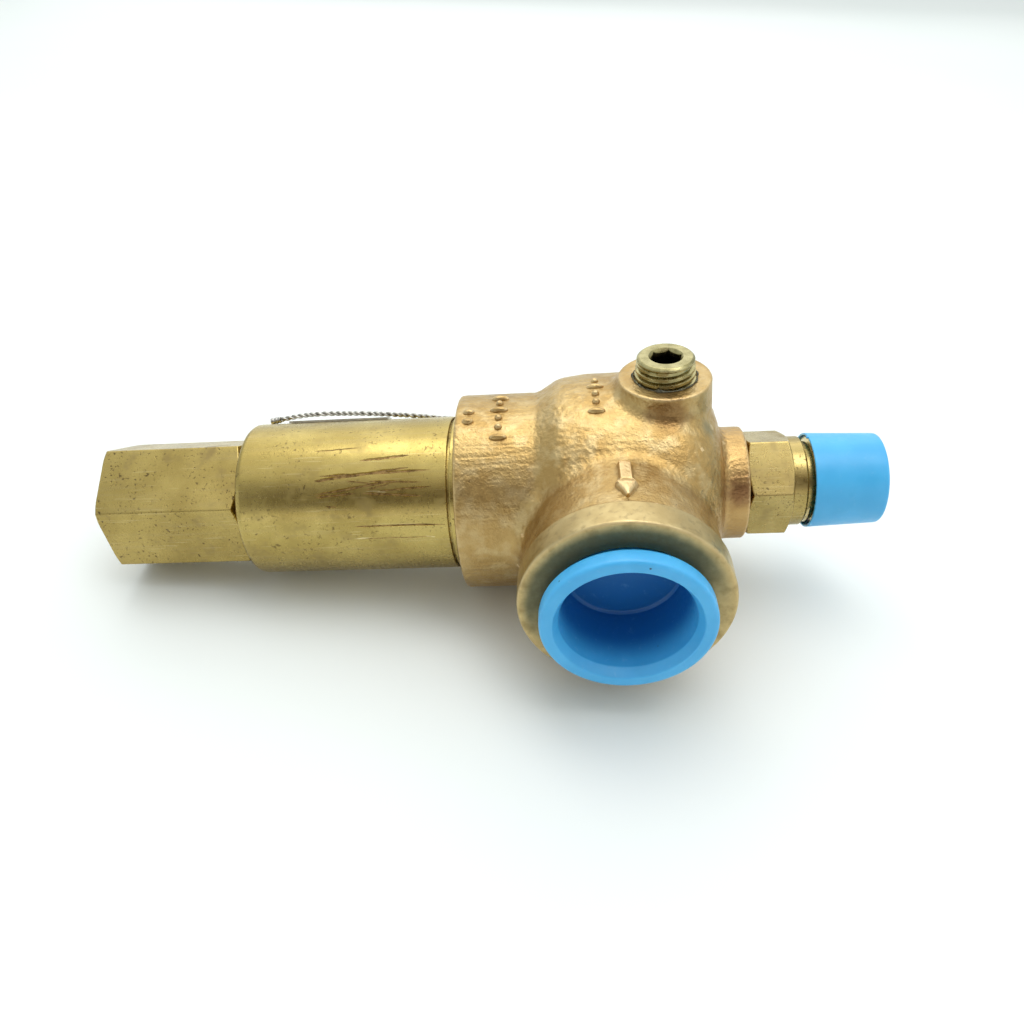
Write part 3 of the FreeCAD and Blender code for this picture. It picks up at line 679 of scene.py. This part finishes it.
# ---- seal wire
def route_line(points, spacing):
    """Evenly spaced points along the smooth curve that the given points control."""
    curve = bpy.data.curves.new("wire_route", "CURVE")
    curve.dimensions = "3D"
    spline = curve.splines.new("NURBS")
    spline.points.add(len(points) - 1)
    for control, point in zip(spline.points, points):
        control.co = (*(point * MM), 1)
    spline.order_u = 3
    spline.use_endpoint_u = True
    spline.resolution_u = 24
    holder = add_object("wire_route", curve)
    line = coordinates(bpy.data.meshes.new_from_object(holder))
    bpy.data.objects.remove(holder)
    reach = np.concatenate([[0], np.cumsum(np.linalg.norm(np.diff(line, axis=0), axis=1))])
    wanted = np.linspace(0, reach[-1], int(reach[-1] / spacing) + 1)
    return np.stack([np.interp(wanted, reach, line[:, k]) for k in range(3)], axis=1)


def twisted(line, strand_r, pitch, spacing):
    """Two strands laid round each other along a line."""
    heading = headings(line)
    side = np.cross(heading, (0, 0.31, 0.95))
    side /= np.linalg.norm(side, axis=1)[:, None]
    other = np.cross(heading, side)
    along = np.arange(len(line)) * spacing
    uneven = np.array([noise.noise(Vector((a * 0.22, 3.1, 0.4))) for a in along])
    strands = []
    for half_turn in (0, math.pi):
        angle = 2 * math.pi * along / pitch + 1.3 * uneven + half_turn
        offset = np.cos(angle)[:, None] * side + np.sin(angle)[:, None] * other
        strands.append(swept(line + offset * strand_r * 0.97, strand_r, sides=10))
    return merged(*strands)


def add_seal_wire():
    points = [around(OUTLET_X + x, radius, angle) for x, radius, angle in WIRE_ROUTE]
    spacing = 0.16
    line = route_line(points, spacing)
    wire = add_piece("twisted_seal_wire", twisted(line, WIRE_R / 2, 3.2, spacing), WIRE_STEEL,
                     "valve_body", "wire_steel", "seal_wire")
    heading = (points[-1] - points[-2]).normalized()
    crimp = [(0.0, 0.62), (0.02, 0.80), (0.25, 0.84), (0.55, 0.80), (0.75, 0.70), (0.95, 0.80),
             (1.25, 0.84), (1.50, 0.76), (1.70, 0.69), (1.90, 0.80), (2.30, 0.85), (2.55, 0.84),
             (2.60, 0.76), (2.60, 0.50), (2.35, 0.48), (2.30, 0.02)]
    sleeve = swept([points[-1] + heading * a for a, _ in crimp], [r for _, r in crimp], sides=20)
    ferrule = add_piece("crimped_ferrule", sleeve, WIRE_STEEL, "valve_body", "wire_steel", "wire_ferrule")


# ---- cast body
def pip(x, axis_r, angle, width, length, height):
    """A low rounded foundry mark standing on the casting."""
    rings, sides = 13, 24
    out = around(0, 1, angle)
    directions = np.array([(1, 0, 0), Vector((1, 0, 0)).cross(out), out])
    down, about = np.meshgrid(np.linspace(0, math.pi, rings),
                              np.linspace(0, 2 * math.pi, sides, endpoint=False), indexing="ij")
    ball = np.stack([np.sin(down) * np.cos(about), np.sin(down) * np.sin(about), np.cos(down)], axis=-1)
    points = ball.reshape(-1, 3) * (length, width, height) @ directions
    return points + np.array(around(x, axis_r, angle)), tube_faces(rings, sides)


def foundry_marks():
    """Plain pips and bars in rows: pattern marks with no meaning."""
    collar_r, bowl_r = 23.6, 27.55
    marks = [pip(OUTLET_X - 26.6, collar_r, a, 0.8, length, 0.95)
             for a, length in ((67, 2.1), (74, 0.9), (81, 0.9), (88, 2.1), (95, 0.9), (102, 2.1))]
    marks += [pip(OUTLET_X - 33.6, collar_r, a, 0.85, 1.4, 0.9) for a in (79, 87)]
    marks += [pip(OUTLET_X - 4.6, bowl_r, a, 0.8, length, 0.9)
              for a, length in ((74, 2.0), (80, 0.9), (86, 0.9), (92, 2.0), (98, 0.9))]
    return marks


def flow_arrow(skin):
    """The raised arrow that points to the outlet, standing on the neck's own skin."""
    tree = BVHTree.FromPolygons(
        [tuple(v.co / MM) for v in skin.vertices], [tuple(f.vertices) for f in skin.polygons])
    middle, tail, barb, tip = OUTLET_X + 0.6, 20.8, 28.2, 33.0
    profile = [(-1.12, -0.8), (-1.0, 0.55), (-0.82, 1.0), (0, 0.92)]
    profile += [(-share, lift) for share, lift in profile[2::-1]]
    rows = []
    for y in (tail, tail + 0.25, *np.arange(tail + 0.8, barb - 0.3, 0.6), barb - 0.3, barb, barb + 0.6,
              *np.arange(barb + 1.1, tip - 0.3, 0.5), tip - 0.25):
        narrowing = 0.2 + 2.05 * (tip - y) / (tip - barb - 0.6)
        half = 1.35 if y <= barb - 0.3 else min(2.25, narrowing)
        fade = 0.55 if y == tail else 0.85
        row = []
        for share, lift in profile:
            x = middle + share * half
            ground = tree.ray_cast(Vector((x, -y, 60)), Vector((0, 0, -1)))[0]
            row.append((x, -y, ground.z + lift * fade))
        rows.append(row)
    return np.array(rows).reshape(-1, 3), tube_faces(len(rows), len(profile))


def machined_share(points):
    """1 on turned and bored surfaces of the casting, 0 where the sand left its skin."""
    x, y, z = points.T
    axis_r = np.hypot(y, z)
    drain_r = np.hypot(x - DRAIN_X, y)
    near = lambda gap, soft: np.clip(1 - gap / soft, 0, 1)
    share = near(x - COLLAR_FACE, 0.9)
    share = np.maximum(share, near(INLET_COLLAR_FACE - x, 0.9))
    share = np.maximum(share, near(DRAIN_FACE - z, 0.8) * (drain_r < 12))
    share = np.maximum(share, (drain_r < 7.6) * (z > 20))
    share = np.maximum(share, (axis_r < 17.0) * (x < OUTLET_X - 20))
    share = np.maximum(share, (axis_r < 10.6) * (x > OUTLET_X + 10))
    return share


def sand_relief(points):
    """Height of the sand's texture at each point: pebbles, worm-like ripples and broad waves."""
    ripple_h, pebble_h, wave_h = 0.105, 0.125, 0.03
    heights = np.empty(len(points))
    for i, p in enumerate(points):
        place = Vector(p)
        rough = 0.62 + 1.1 * noise.noise(place / 15 + Vector((4, 1, 8)))
        on_outlet_neck = p[1] < -12 and p[2] > 0
        if on_outlet_neck:
            rough -= 0.25
        bent = place + noise.noise_vector(place / 2.6) * 0.6
        ripple = 1 - 2 * abs(noise.noise(bent / 1.35))
        pebble = noise.noise(place / 0.85)
        wave = noise.noise(place / 7.5)
        grain = ripple_h * ripple + pebble_h * pebble
        heights[i] = grain * min(max(rough, 0.35), 1.0) + wave_h * wave
    return heights


def cleaned(mesh, distance):
    """Merge a mesh's doubled points."""
    work = bmesh.new()
    work.from_mesh(mesh)
    bmesh.ops.remove_doubles(work, verts=work.verts, dist=distance)
    work.to_mesh(mesh)
    work.free()


def add_cast_body():
    """The casting with its sand texture and raised marks, cut back where the turned outlet fits."""
    source = NODES["cast_body"].data.copy()
    cleaned(source, 2e-6)
    skin = add_object("cast_skin_source", source)
    cutter = add_object("outlet_cutter", mesh_of("outlet_cutter", turned([
        (23.4, 0), (23.4, 18.4), (OUTLET_BAND + 0.15, 18.4), (OUTLET_BAND + 0.15, 26),
        (OUTLET_FACE + 4, 26), (OUTLET_FACE + 4, 0),
    ], "outlet", 96, soft=0)))
    cut = skin.modifiers.new("outlet", "BOOLEAN")
    cut.operation, cut.object, cut.solver = "DIFFERENCE", cutter, "EXACT"
    remesh = skin.modifiers.new("voxels", "REMESH")
    remesh.mode, remesh.voxel_size = "VOXEL", 0.38 * MM
    smooth = skin.modifiers.new("smooth", "SMOOTH")
    smooth.factor, smooth.iterations = 0.5, 3
    thin = skin.modifiers.new("thin", "DECIMATE")
    thin.ratio = 0.48
    final = applied(skin)
    for scrap in (skin, cutter):
        bpy.data.objects.remove(scrap)
    final.materials.clear()
    marks = mesh_of("raised_marks", merged(flow_arrow(final), *foundry_marks()))
    points = coordinates(final)
    normals = np.empty(len(points) * 3)
    final.vertices.foreach_get("normal", normals)
    lift = (sand_relief(points) - 0.13) * (1 - machined_share(points))
    points = points + normals.reshape(-1, 3) * lift[:, None]
    final.vertices.foreach_set("co", (points * MM).ravel())
    final.update()
    work = bmesh.new()
    work.from_mesh(final)
    work.from_mesh(marks)
    work.to_mesh(final)
    work.free()
    dress(add_object("sand_cast_body", final), BRONZE, "valve_body", "cast_bronze", "cast_body", sharp=60)


def add_outlet():
    """Turned band, face and threaded port of the outlet."""
    depth, root, crest = 23.4, 15.7, 15.15
    taper = 1 / 32
    face_root = root + (OUTLET_FACE - depth) * taper
    ring = turned([
        (depth, root), (OUTLET_FACE - 0.4, face_root), (OUTLET_FACE, face_root + 0.15, 0.1),
        (OUTLET_FACE, BAND_R, 0.9), (OUTLET_BAND, BAND_R, 0.4), (OUTLET_BAND - 0.4, 22.0),
        (OUTLET_BAND - 1.6, 21.0), (OUTLET_BAND - 1.6, 19.4), (depth, 19.4),
    ], "outlet", 240)
    thread = thread_ridge(depth, OUTLET_FACE - 1.6, root, crest, 25.4 / 11.5, "outlet", taper)
    add_piece("turned_outlet", merged(ring, thread), OUTLET_BRONZE, "valve_body", "cast_bronze",
              "cast_body")


# ---- bonnet
def furrow(x0, angle0, x1, angle1, depth, seed):
    """A tool for one scratch: brass walls, tarnished bottom, both ends fading out."""
    stations = 26
    sections = []
    for i in range(stations + 1):
        t = i / stations
        x = OUTLET_X + x0 + (x1 - x0) * t
        wander = 0.35 * noise.noise(Vector((t * 4, seed, 0.3)))
        angle = angle0 + (angle1 - angle0) * t + wander
        bite = depth * min(1, 7 * t + 0.08, 5 * (1 - t) + 0.08)
        bite *= 0.85 + 0.5 * noise.noise(Vector((t * 9, seed, 7)))
        top = math.degrees((0.14 + 1.15 * bite) / BONNET_R)
        foot = math.degrees((0.04 + 0.50 * bite) / BONNET_R)
        sections += [around(x, BONNET_R + 0.12, angle - top), around(x, BONNET_R - bite, angle - foot),
                     around(x, BONNET_R - bite, angle + foot), around(x, BONNET_R + 0.12, angle + top)]
    mesh = mesh_of("furrow", (np.array(sections), tube_faces(stations + 1, 4)))
    mesh.materials.append(BONNET_BRASS)
    mesh.materials.append(TARNISH)
    for i in range(stations):
        mesh.polygons[4 * i + 1].material_index = 1
    return mesh


def add_bonnet():
    """Spring housing with its neck thread, and the scratches cut into its side."""
    neck_end, neck_r = BONNET_LOW.x, 10.95
    chamber_end, screw_r = BONNET_LOW.x + 15.0, 5.56
    outline = [
        (neck_end, screw_r), (neck_end, neck_r - 1.2, 0.3), (neck_end + 1.0, neck_r - 0.75),
        (BONNET_TOP - 0.8, neck_r - 0.75),
        (BONNET_TOP, neck_r - 0.4), (BONNET_TOP, BONNET_R, 1.5),
        (BONNET_FACE, BONNET_R, 0.3), (BONNET_FACE, 16.45), (BONNET_HIGH.x, 16.45), (BONNET_HIGH.x, 14.0),
        (BONNET_FACE + 2.9, 14.0), (BONNET_FACE + 1.9, 15.0), (chamber_end, 15.0, 1.5),
        (chamber_end, screw_r),
    ]
    steps = 256
    angles = np.linspace(0, 2 * math.pi, steps, endpoint=False)
    rows = split_rows(softened(outline), 3.0, BONNET_R - 0.1, BONNET_R + 1)
    blank = add_object("bonnet_blank", mesh_of("bonnet_blank", loft(rows, angles, "valve")))
    blank.data.materials.append(BONNET_BRASS)
    for i, scratch in enumerate(SCRATCHES):
        tool = add_object("furrow", furrow(*scratch, seed=i * 3.7))
        cut = blank.modifiers.new("furrow", "BOOLEAN")
        cut.operation, cut.object, cut.solver, cut.material_mode = "DIFFERENCE", tool, "EXACT", "TRANSFER"
    scratched = applied(blank)
    for scrap in [blank] + [o for o in bpy.data.objects if o.name.startswith("furrow")]:
        bpy.data.objects.remove(scrap)
    bonnet = add_object("scratched_bonnet", scratched)
    dress(bonnet, BONNET_BRASS, "valve_body", "turned_brass", "bonnet", sharp=30)
    thread = thread_ridge(neck_end + 0.6, BONNET_TOP - 0.5, neck_r - 0.75, neck_r, 1.5, "valve")
    add_piece("bonnet_neck_thread", thread, BONNET_BRASS, "valve_body", "turned_brass", "bonnet")


# ---- hexagon cap and nozzle
def add_hex_cap():
    """Closed cap from hexagon bar, with worn corners."""
    across, corner = 28.58, 28.4
    corner_r = across / 2 / math.cos(math.pi / 6)
    end, mouth = CAP_LOW.x, CAP_HIGH.x
    slope, near, far = math.tan(math.radians(30)), 1.0, corner_r - across / 2 * 0.985
    shape = hexagonal([
        (end, 0), (end, corner_r - near), (end + near * slope, corner_r + 0.6),
        (mouth - far * slope, corner_r + 0.6), (mouth, corner_r - far), (mouth, 11.1),
        (end + 24.7, 11.1), (end + 24.7, 10.6), (end + 4.0, 10.6, 2.0), (end + 4.0, 0),
    ], across, corner, 150)
    add_piece("worn_hex_cap", shape, CAP_BRASS, "cap", "turned_brass", "hex_cap")


def add_nozzle():
    """Seat, hexagon, plain neck and the tapered inlet thread."""
    across, corner, flow_r = 22.23, 21.9, 6.2
    corner_r = across / 2 / math.cos(math.pi / 6)
    hex_end, neck_end, neck_r = OUTLET_X + 40.3, OUTLET_X + 43.6, 10.67
    seat, slope = NOZZLE_LOW.x, math.tan(math.radians(30))
    trim = corner_r - across / 2 * 0.985
    bar = hexagonal([
        (INLET_COLLAR_FACE, flow_r + 0.3), (INLET_COLLAR_FACE, corner_r - trim),
        (INLET_COLLAR_FACE + trim * slope, corner_r + 0.5), (hex_end - trim * slope, corner_r + 0.5),
        (hex_end, corner_r - trim), (hex_end, flow_r + 0.3),
    ], across, corner, 170)
    end_r, growth = 10.30, 1 / 36
    depth = 1.35
    start_r = end_r + growth * -neck_end
    shank = turned([
        (seat, flow_r), (seat, 7.3, 0.3), (seat + 4.0, 7.3, 0.5), (seat + 4.6, 8.4), (seat + 13.5, 8.4),
        (seat + 14.7, 10.2), (INLET_COLLAR_FACE + 1, 10.2), (hex_end - 1, neck_r),
        (neck_end - 0.5, neck_r),
        (neck_end, neck_r - 0.5), (neck_end, start_r - depth), (-1.2, end_r - depth),
        (0, end_r - depth - 0.5), (0, flow_r + 0.8), (-0.8, flow_r),
    ])
    thread = thread_ridge(neck_end + 0.1, -0.25, start_r - depth, start_r, 25.4 / 14, "valve", -growth)
    nozzle = merged(bar, shank, thread)
    add_piece("threaded_nozzle", nozzle, NOZZLE_BRASS, "valve_body", "turned_brass", "nozzle")


# ---- drain plug, sealant and plastic covers
def add_drain_plug():
    """Socket-head pipe plug with its helical thread."""
    across, corner, depth, pitch = 6.1, 14.0, 5.0, 25.4 / 18
    bottom, top = DRAIN_LOW.z, DRAIN_HIGH.z
    angles = hexagon_angles(corner)
    socket = hexagon_radii(angles, across, corner)
    sink = across / 2 / math.cos(math.pi / 6) + 0.25
    outline = softened([
        (bottom, 0), (bottom, 5.3), (bottom + 0.8, 5.95), (DRAIN_FACE - 1.2, 6.15), (top - 1.2, 5.65),
        (top - 1.0, 6.25, 0.1),
        (top - 0.5, 6.38, 0.3), (top, 5.75, 0.3), (top, sink), (top, 0),
    ], soft=0.12)
    rows = [row for row in outline if row[1] > 0 or row[0] == bottom]
    rows += [(top - t, np.maximum(socket, sink - t * 0.9)) for t in (0.1, 0.25, 0.4, 0.6, 0.9)]
    rows += [(top - depth + 0.1, socket), (top - depth, socket * 0.985), (top - depth, across * 0.49),
             (top - depth - across * 0.28, 0.0)]
    hidden = thread_ridge(bottom + 0.3, DRAIN_FACE + 0.2, 5.95, 6.7, pitch, "drain")
    shown = thread_ridge(bottom + 0.3 + 3 * pitch, top - 0.15, 6.2, 7.02, pitch, "drain", -0.11, flat=0.2)
    add_piece("socket_drain_plug", merged(loft(rows, angles, "drain"), hidden, shown), PLATED,
              "drain", "plated_steel", "drain_plug")


def add_sealant():
    """Flaky bead of set sealant round the drain plug."""
    angles = np.linspace(0, 2 * math.pi, 220, endpoint=False)
    inner, low = 6.99, SEALANT_LOW.z
    width = SEALANT_HIGH.x - DRAIN_X - inner
    height = SEALANT_HIGH.z - low
    ragged = np.array([
        0.40 + 0.75 * noise.fractal(Vector((math.cos(a) * 4, math.sin(a) * 4, 1.7)), 1.0, 2.0, 4)
        for a in angles]).clip(0.14, 1.0)
    bead = loft([
        (low, inner), (low, inner + width * ragged),
        (low + height * 0.35 * ragged, inner + width * ragged * 0.96),
        (low + height * 0.85 * ragged, inner + width * ragged * 0.6), (low + height * ragged, inner),
    ], angles, "drain")
    add_piece("flaky_sealant", bead, SEALANT, "plug_seal", "sealant", "thread_sealant", sharp=60)


def add_covers():
    """Blue plug pushed into the outlet and blue cap slipped over the inlet thread."""
    front, rim_r, deep = -PLUG_LOW.y, PLUG_HIGH.z, -PLUG_HIGH.y
    rim_back = front - 3.93
    floor = deep + 1.6
    plug = turned([
        (deep, 0), (deep, 14.8, 0.8), (rim_back, 15.85, 0.3), (rim_back, rim_r, 0.7), (front, rim_r, 1.1),
        (front, 15.3, 0.5), (front - 2.2, 14.1, 0.9), (floor + 0.5, 12.95, 0.25),
        (floor + 0.3, 12.7, 0.12), (floor + 0.12, 12.5, 0.1), (floor, 12.2, 0.3), (floor, 0),
    ], "outlet", 256)
    add_piece("push_in_outlet_plug", plug, CUP_BLUE, "outlet_protector", "blue_plastic", "outlet_plug")
    mouth, end = INLET_CAP_LOW.x, INLET_CAP_HIGH.x
    cap = turned([
        (mouth, 10.80, 0.1), (mouth, 11.31, 0.22), (end, 10.66, 0.8), (end, 0), (end - 1.15, 0),
        (end - 1.15, 10.37, 0.3),
    ], "valve", 224)
    gate = pip(mouth - 0.15, 11.15, 100, 0.32, 0.4, 0.28)
    add_piece("slip_on_inlet_cap", merged(cap, gate), BLUE, "inlet_protector", "blue_plastic",
              "inlet_cap")


# ---- spring
def add_spring():
    """Compression spring with ground ends, made in two halves."""
    wire_r, mean_r, turns = 1.9, 11.1, 6.5
    low, high = SPRING_LOW.x, SPRING_HIGH.x
    count = int(turns * 48)
    along = np.linspace(low - 0.8 * wire_r, high + 0.8 * wire_r, count + 1)
    turn = 2 * math.pi * turns * np.arange(count + 1) / count
    line = np.stack([along, -mean_r * np.cos(turn), mean_r * np.sin(turn)], axis=1)
    half = count // 2
    for name, part, seat, end in (("coil_spring_upper", line[:half + 1], "spring_top", low),
                                  ("coil_spring_lower", line[half:], "disc_group", high)):
        points, faces = swept(part, wire_r, sides=16)
        points[:, 0] = points[:, 0].clip(low, high)
        spring = add_piece(name, (points, faces), INNER_STEEL, None, "inner_steel", "main_spring")
        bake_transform(spring)


# ---- pieces that keep their CAD shape
def paint_frame_nodes():
    """Better materials for the CAD nodes that show as they are."""
    kept = {
        BONNET_BRASS: ["bonnet_seal_ring", "jam_nut", "guide", "disc_holder"],
        INNER_STEEL: ["compression_screw", "upper_spring_step", "lower_spring_step", "stem",
                      "insert_retainer", "retainer_screw", "stem_retaining_ring"],
        PLATE_METAL: ["name_plate", "name_plate_pins"],
        FIBRE: ["cap_gasket"],
        RUBBER: ["nozzle_o_ring"],
        POLYMER: ["seat_insert"],
    }
    for material, names in kept.items():
        for name in names:
            node = NODES[name]
            node.data.materials.clear()
            node.data.materials.append(material)


# ---- floor and light
def resting_slope():
    """Slope of the floor on which both the bowl and the hexagon cap's corner rest."""
    body, cap = coordinates(NODES["cast_body"].data), coordinates(NODES["hex_cap"].data)
    low, high = 0.0, 0.3
    for _ in range(30):
        slope = (low + high) / 2
        gap = (body[:, 2] + slope * body[:, 0]).min() - (cap[:, 2] + slope * cap[:, 0]).min()
        low, high = (slope, high) if gap < 0 else (low, slope)
    return slope, (body[:, 2] + slope * body[:, 0]).min()


def add_floor():
    slope, height = resting_slope()
    corners = [(x, y, height - slope * x - 0.02)
               for x, y in ((-3000, -3000), (3000, -3000), (3000, 3000), (-3000, 3000))]
    floor = add_object("floor", mesh_of("floor", (np.array(corners), [(0, 1, 2, 3)])))
    floor.data.materials.append(floor_white())


def add_light(name, place, target, size, power):
    """A soft box that faces a point; place, target and size are in metres."""
    data = bpy.data.lights.new(name, "AREA")
    data.shape = "RECTANGLE"
    data.size, data.size_y = size
    data.energy = power
    light = bpy.data.objects.new(name, data)
    light.location = place
    light.rotation_euler = (Vector(place) - Vector(target)).to_track_quat("Z", "Y").to_euler()
    bpy.context.scene.collection.objects.link(light)


def add_world():
    """A pale room, dark on the side from which the valve is looked at."""
    world = bpy.data.worlds.new("studio")
    world.use_nodes = True
    nodes, link = world.node_tree.nodes, world.node_tree.links.new
    toward = nodes.new("ShaderNodeVectorMath")
    toward.operation = "DOT_PRODUCT"
    toward.inputs[1].default_value = Vector((0.08, -0.80, 0.59)).normalized()
    link(nodes.new("ShaderNodeTexCoord").outputs["Generated"], toward.inputs[0])
    shade = nodes.new("ShaderNodeMapRange")
    shade.interpolation_type = "SMOOTHSTEP"
    shade.inputs["From Min"].default_value = 0.72
    shade.inputs["From Max"].default_value = 0.965
    link(toward.outputs["Value"], shade.inputs["Value"])
    blend = nodes.new("ShaderNodeMix")
    blend.data_type = "RGBA"
    blend.inputs[6].default_value = (0.80, 0.86, 0.86, 1)
    blend.inputs[7].default_value = (0.12, 0.085, 0.05, 1)
    link(shade.outputs[0], blend.inputs[0])
    nodes["Background"].inputs["Strength"].default_value = 0.93
    link(blend.outputs[2], nodes["Background"].inputs["Color"])
    bpy.context.scene.world = world


def add_studio():
    add_floor()
    add_world()
    target = (OUTLET_X * MM, 0, 0)
    add_light("tent_top", (0.06, 0.05, 0.80), target, (1.9, 1.5), 4.2)
    add_light("overhead", (0.02, 0.10, 0.75), target, (0.9, 0.32), 2.4)
    add_light("tent_back", (-0.06, 0.95, 0.40), target, (1.4, 0.7), 1.4)
    add_light("tent_far", (-0.06, 1.30, 1.00), (-0.06, 1.10, -0.03), (2.4, 1.0), 4.0)
    add_light("front_low", (0.02, -0.95, 0.16), target, (1.5, 0.28), 0.85)
    add_light("right_side", (0.85, -0.05, 0.45), target, (0.7, 0.7), 0.4)
    bpy.context.scene.view_settings.view_transform = "Standard"


# ---- everything
add_camera()
add_seal_wire()
add_cast_body()
add_outlet()
add_bonnet()
add_hex_cap()
add_nozzle()
add_drain_plug()
add_sealant()
add_covers()
add_spring()
paint_frame_nodes()
add_studio()
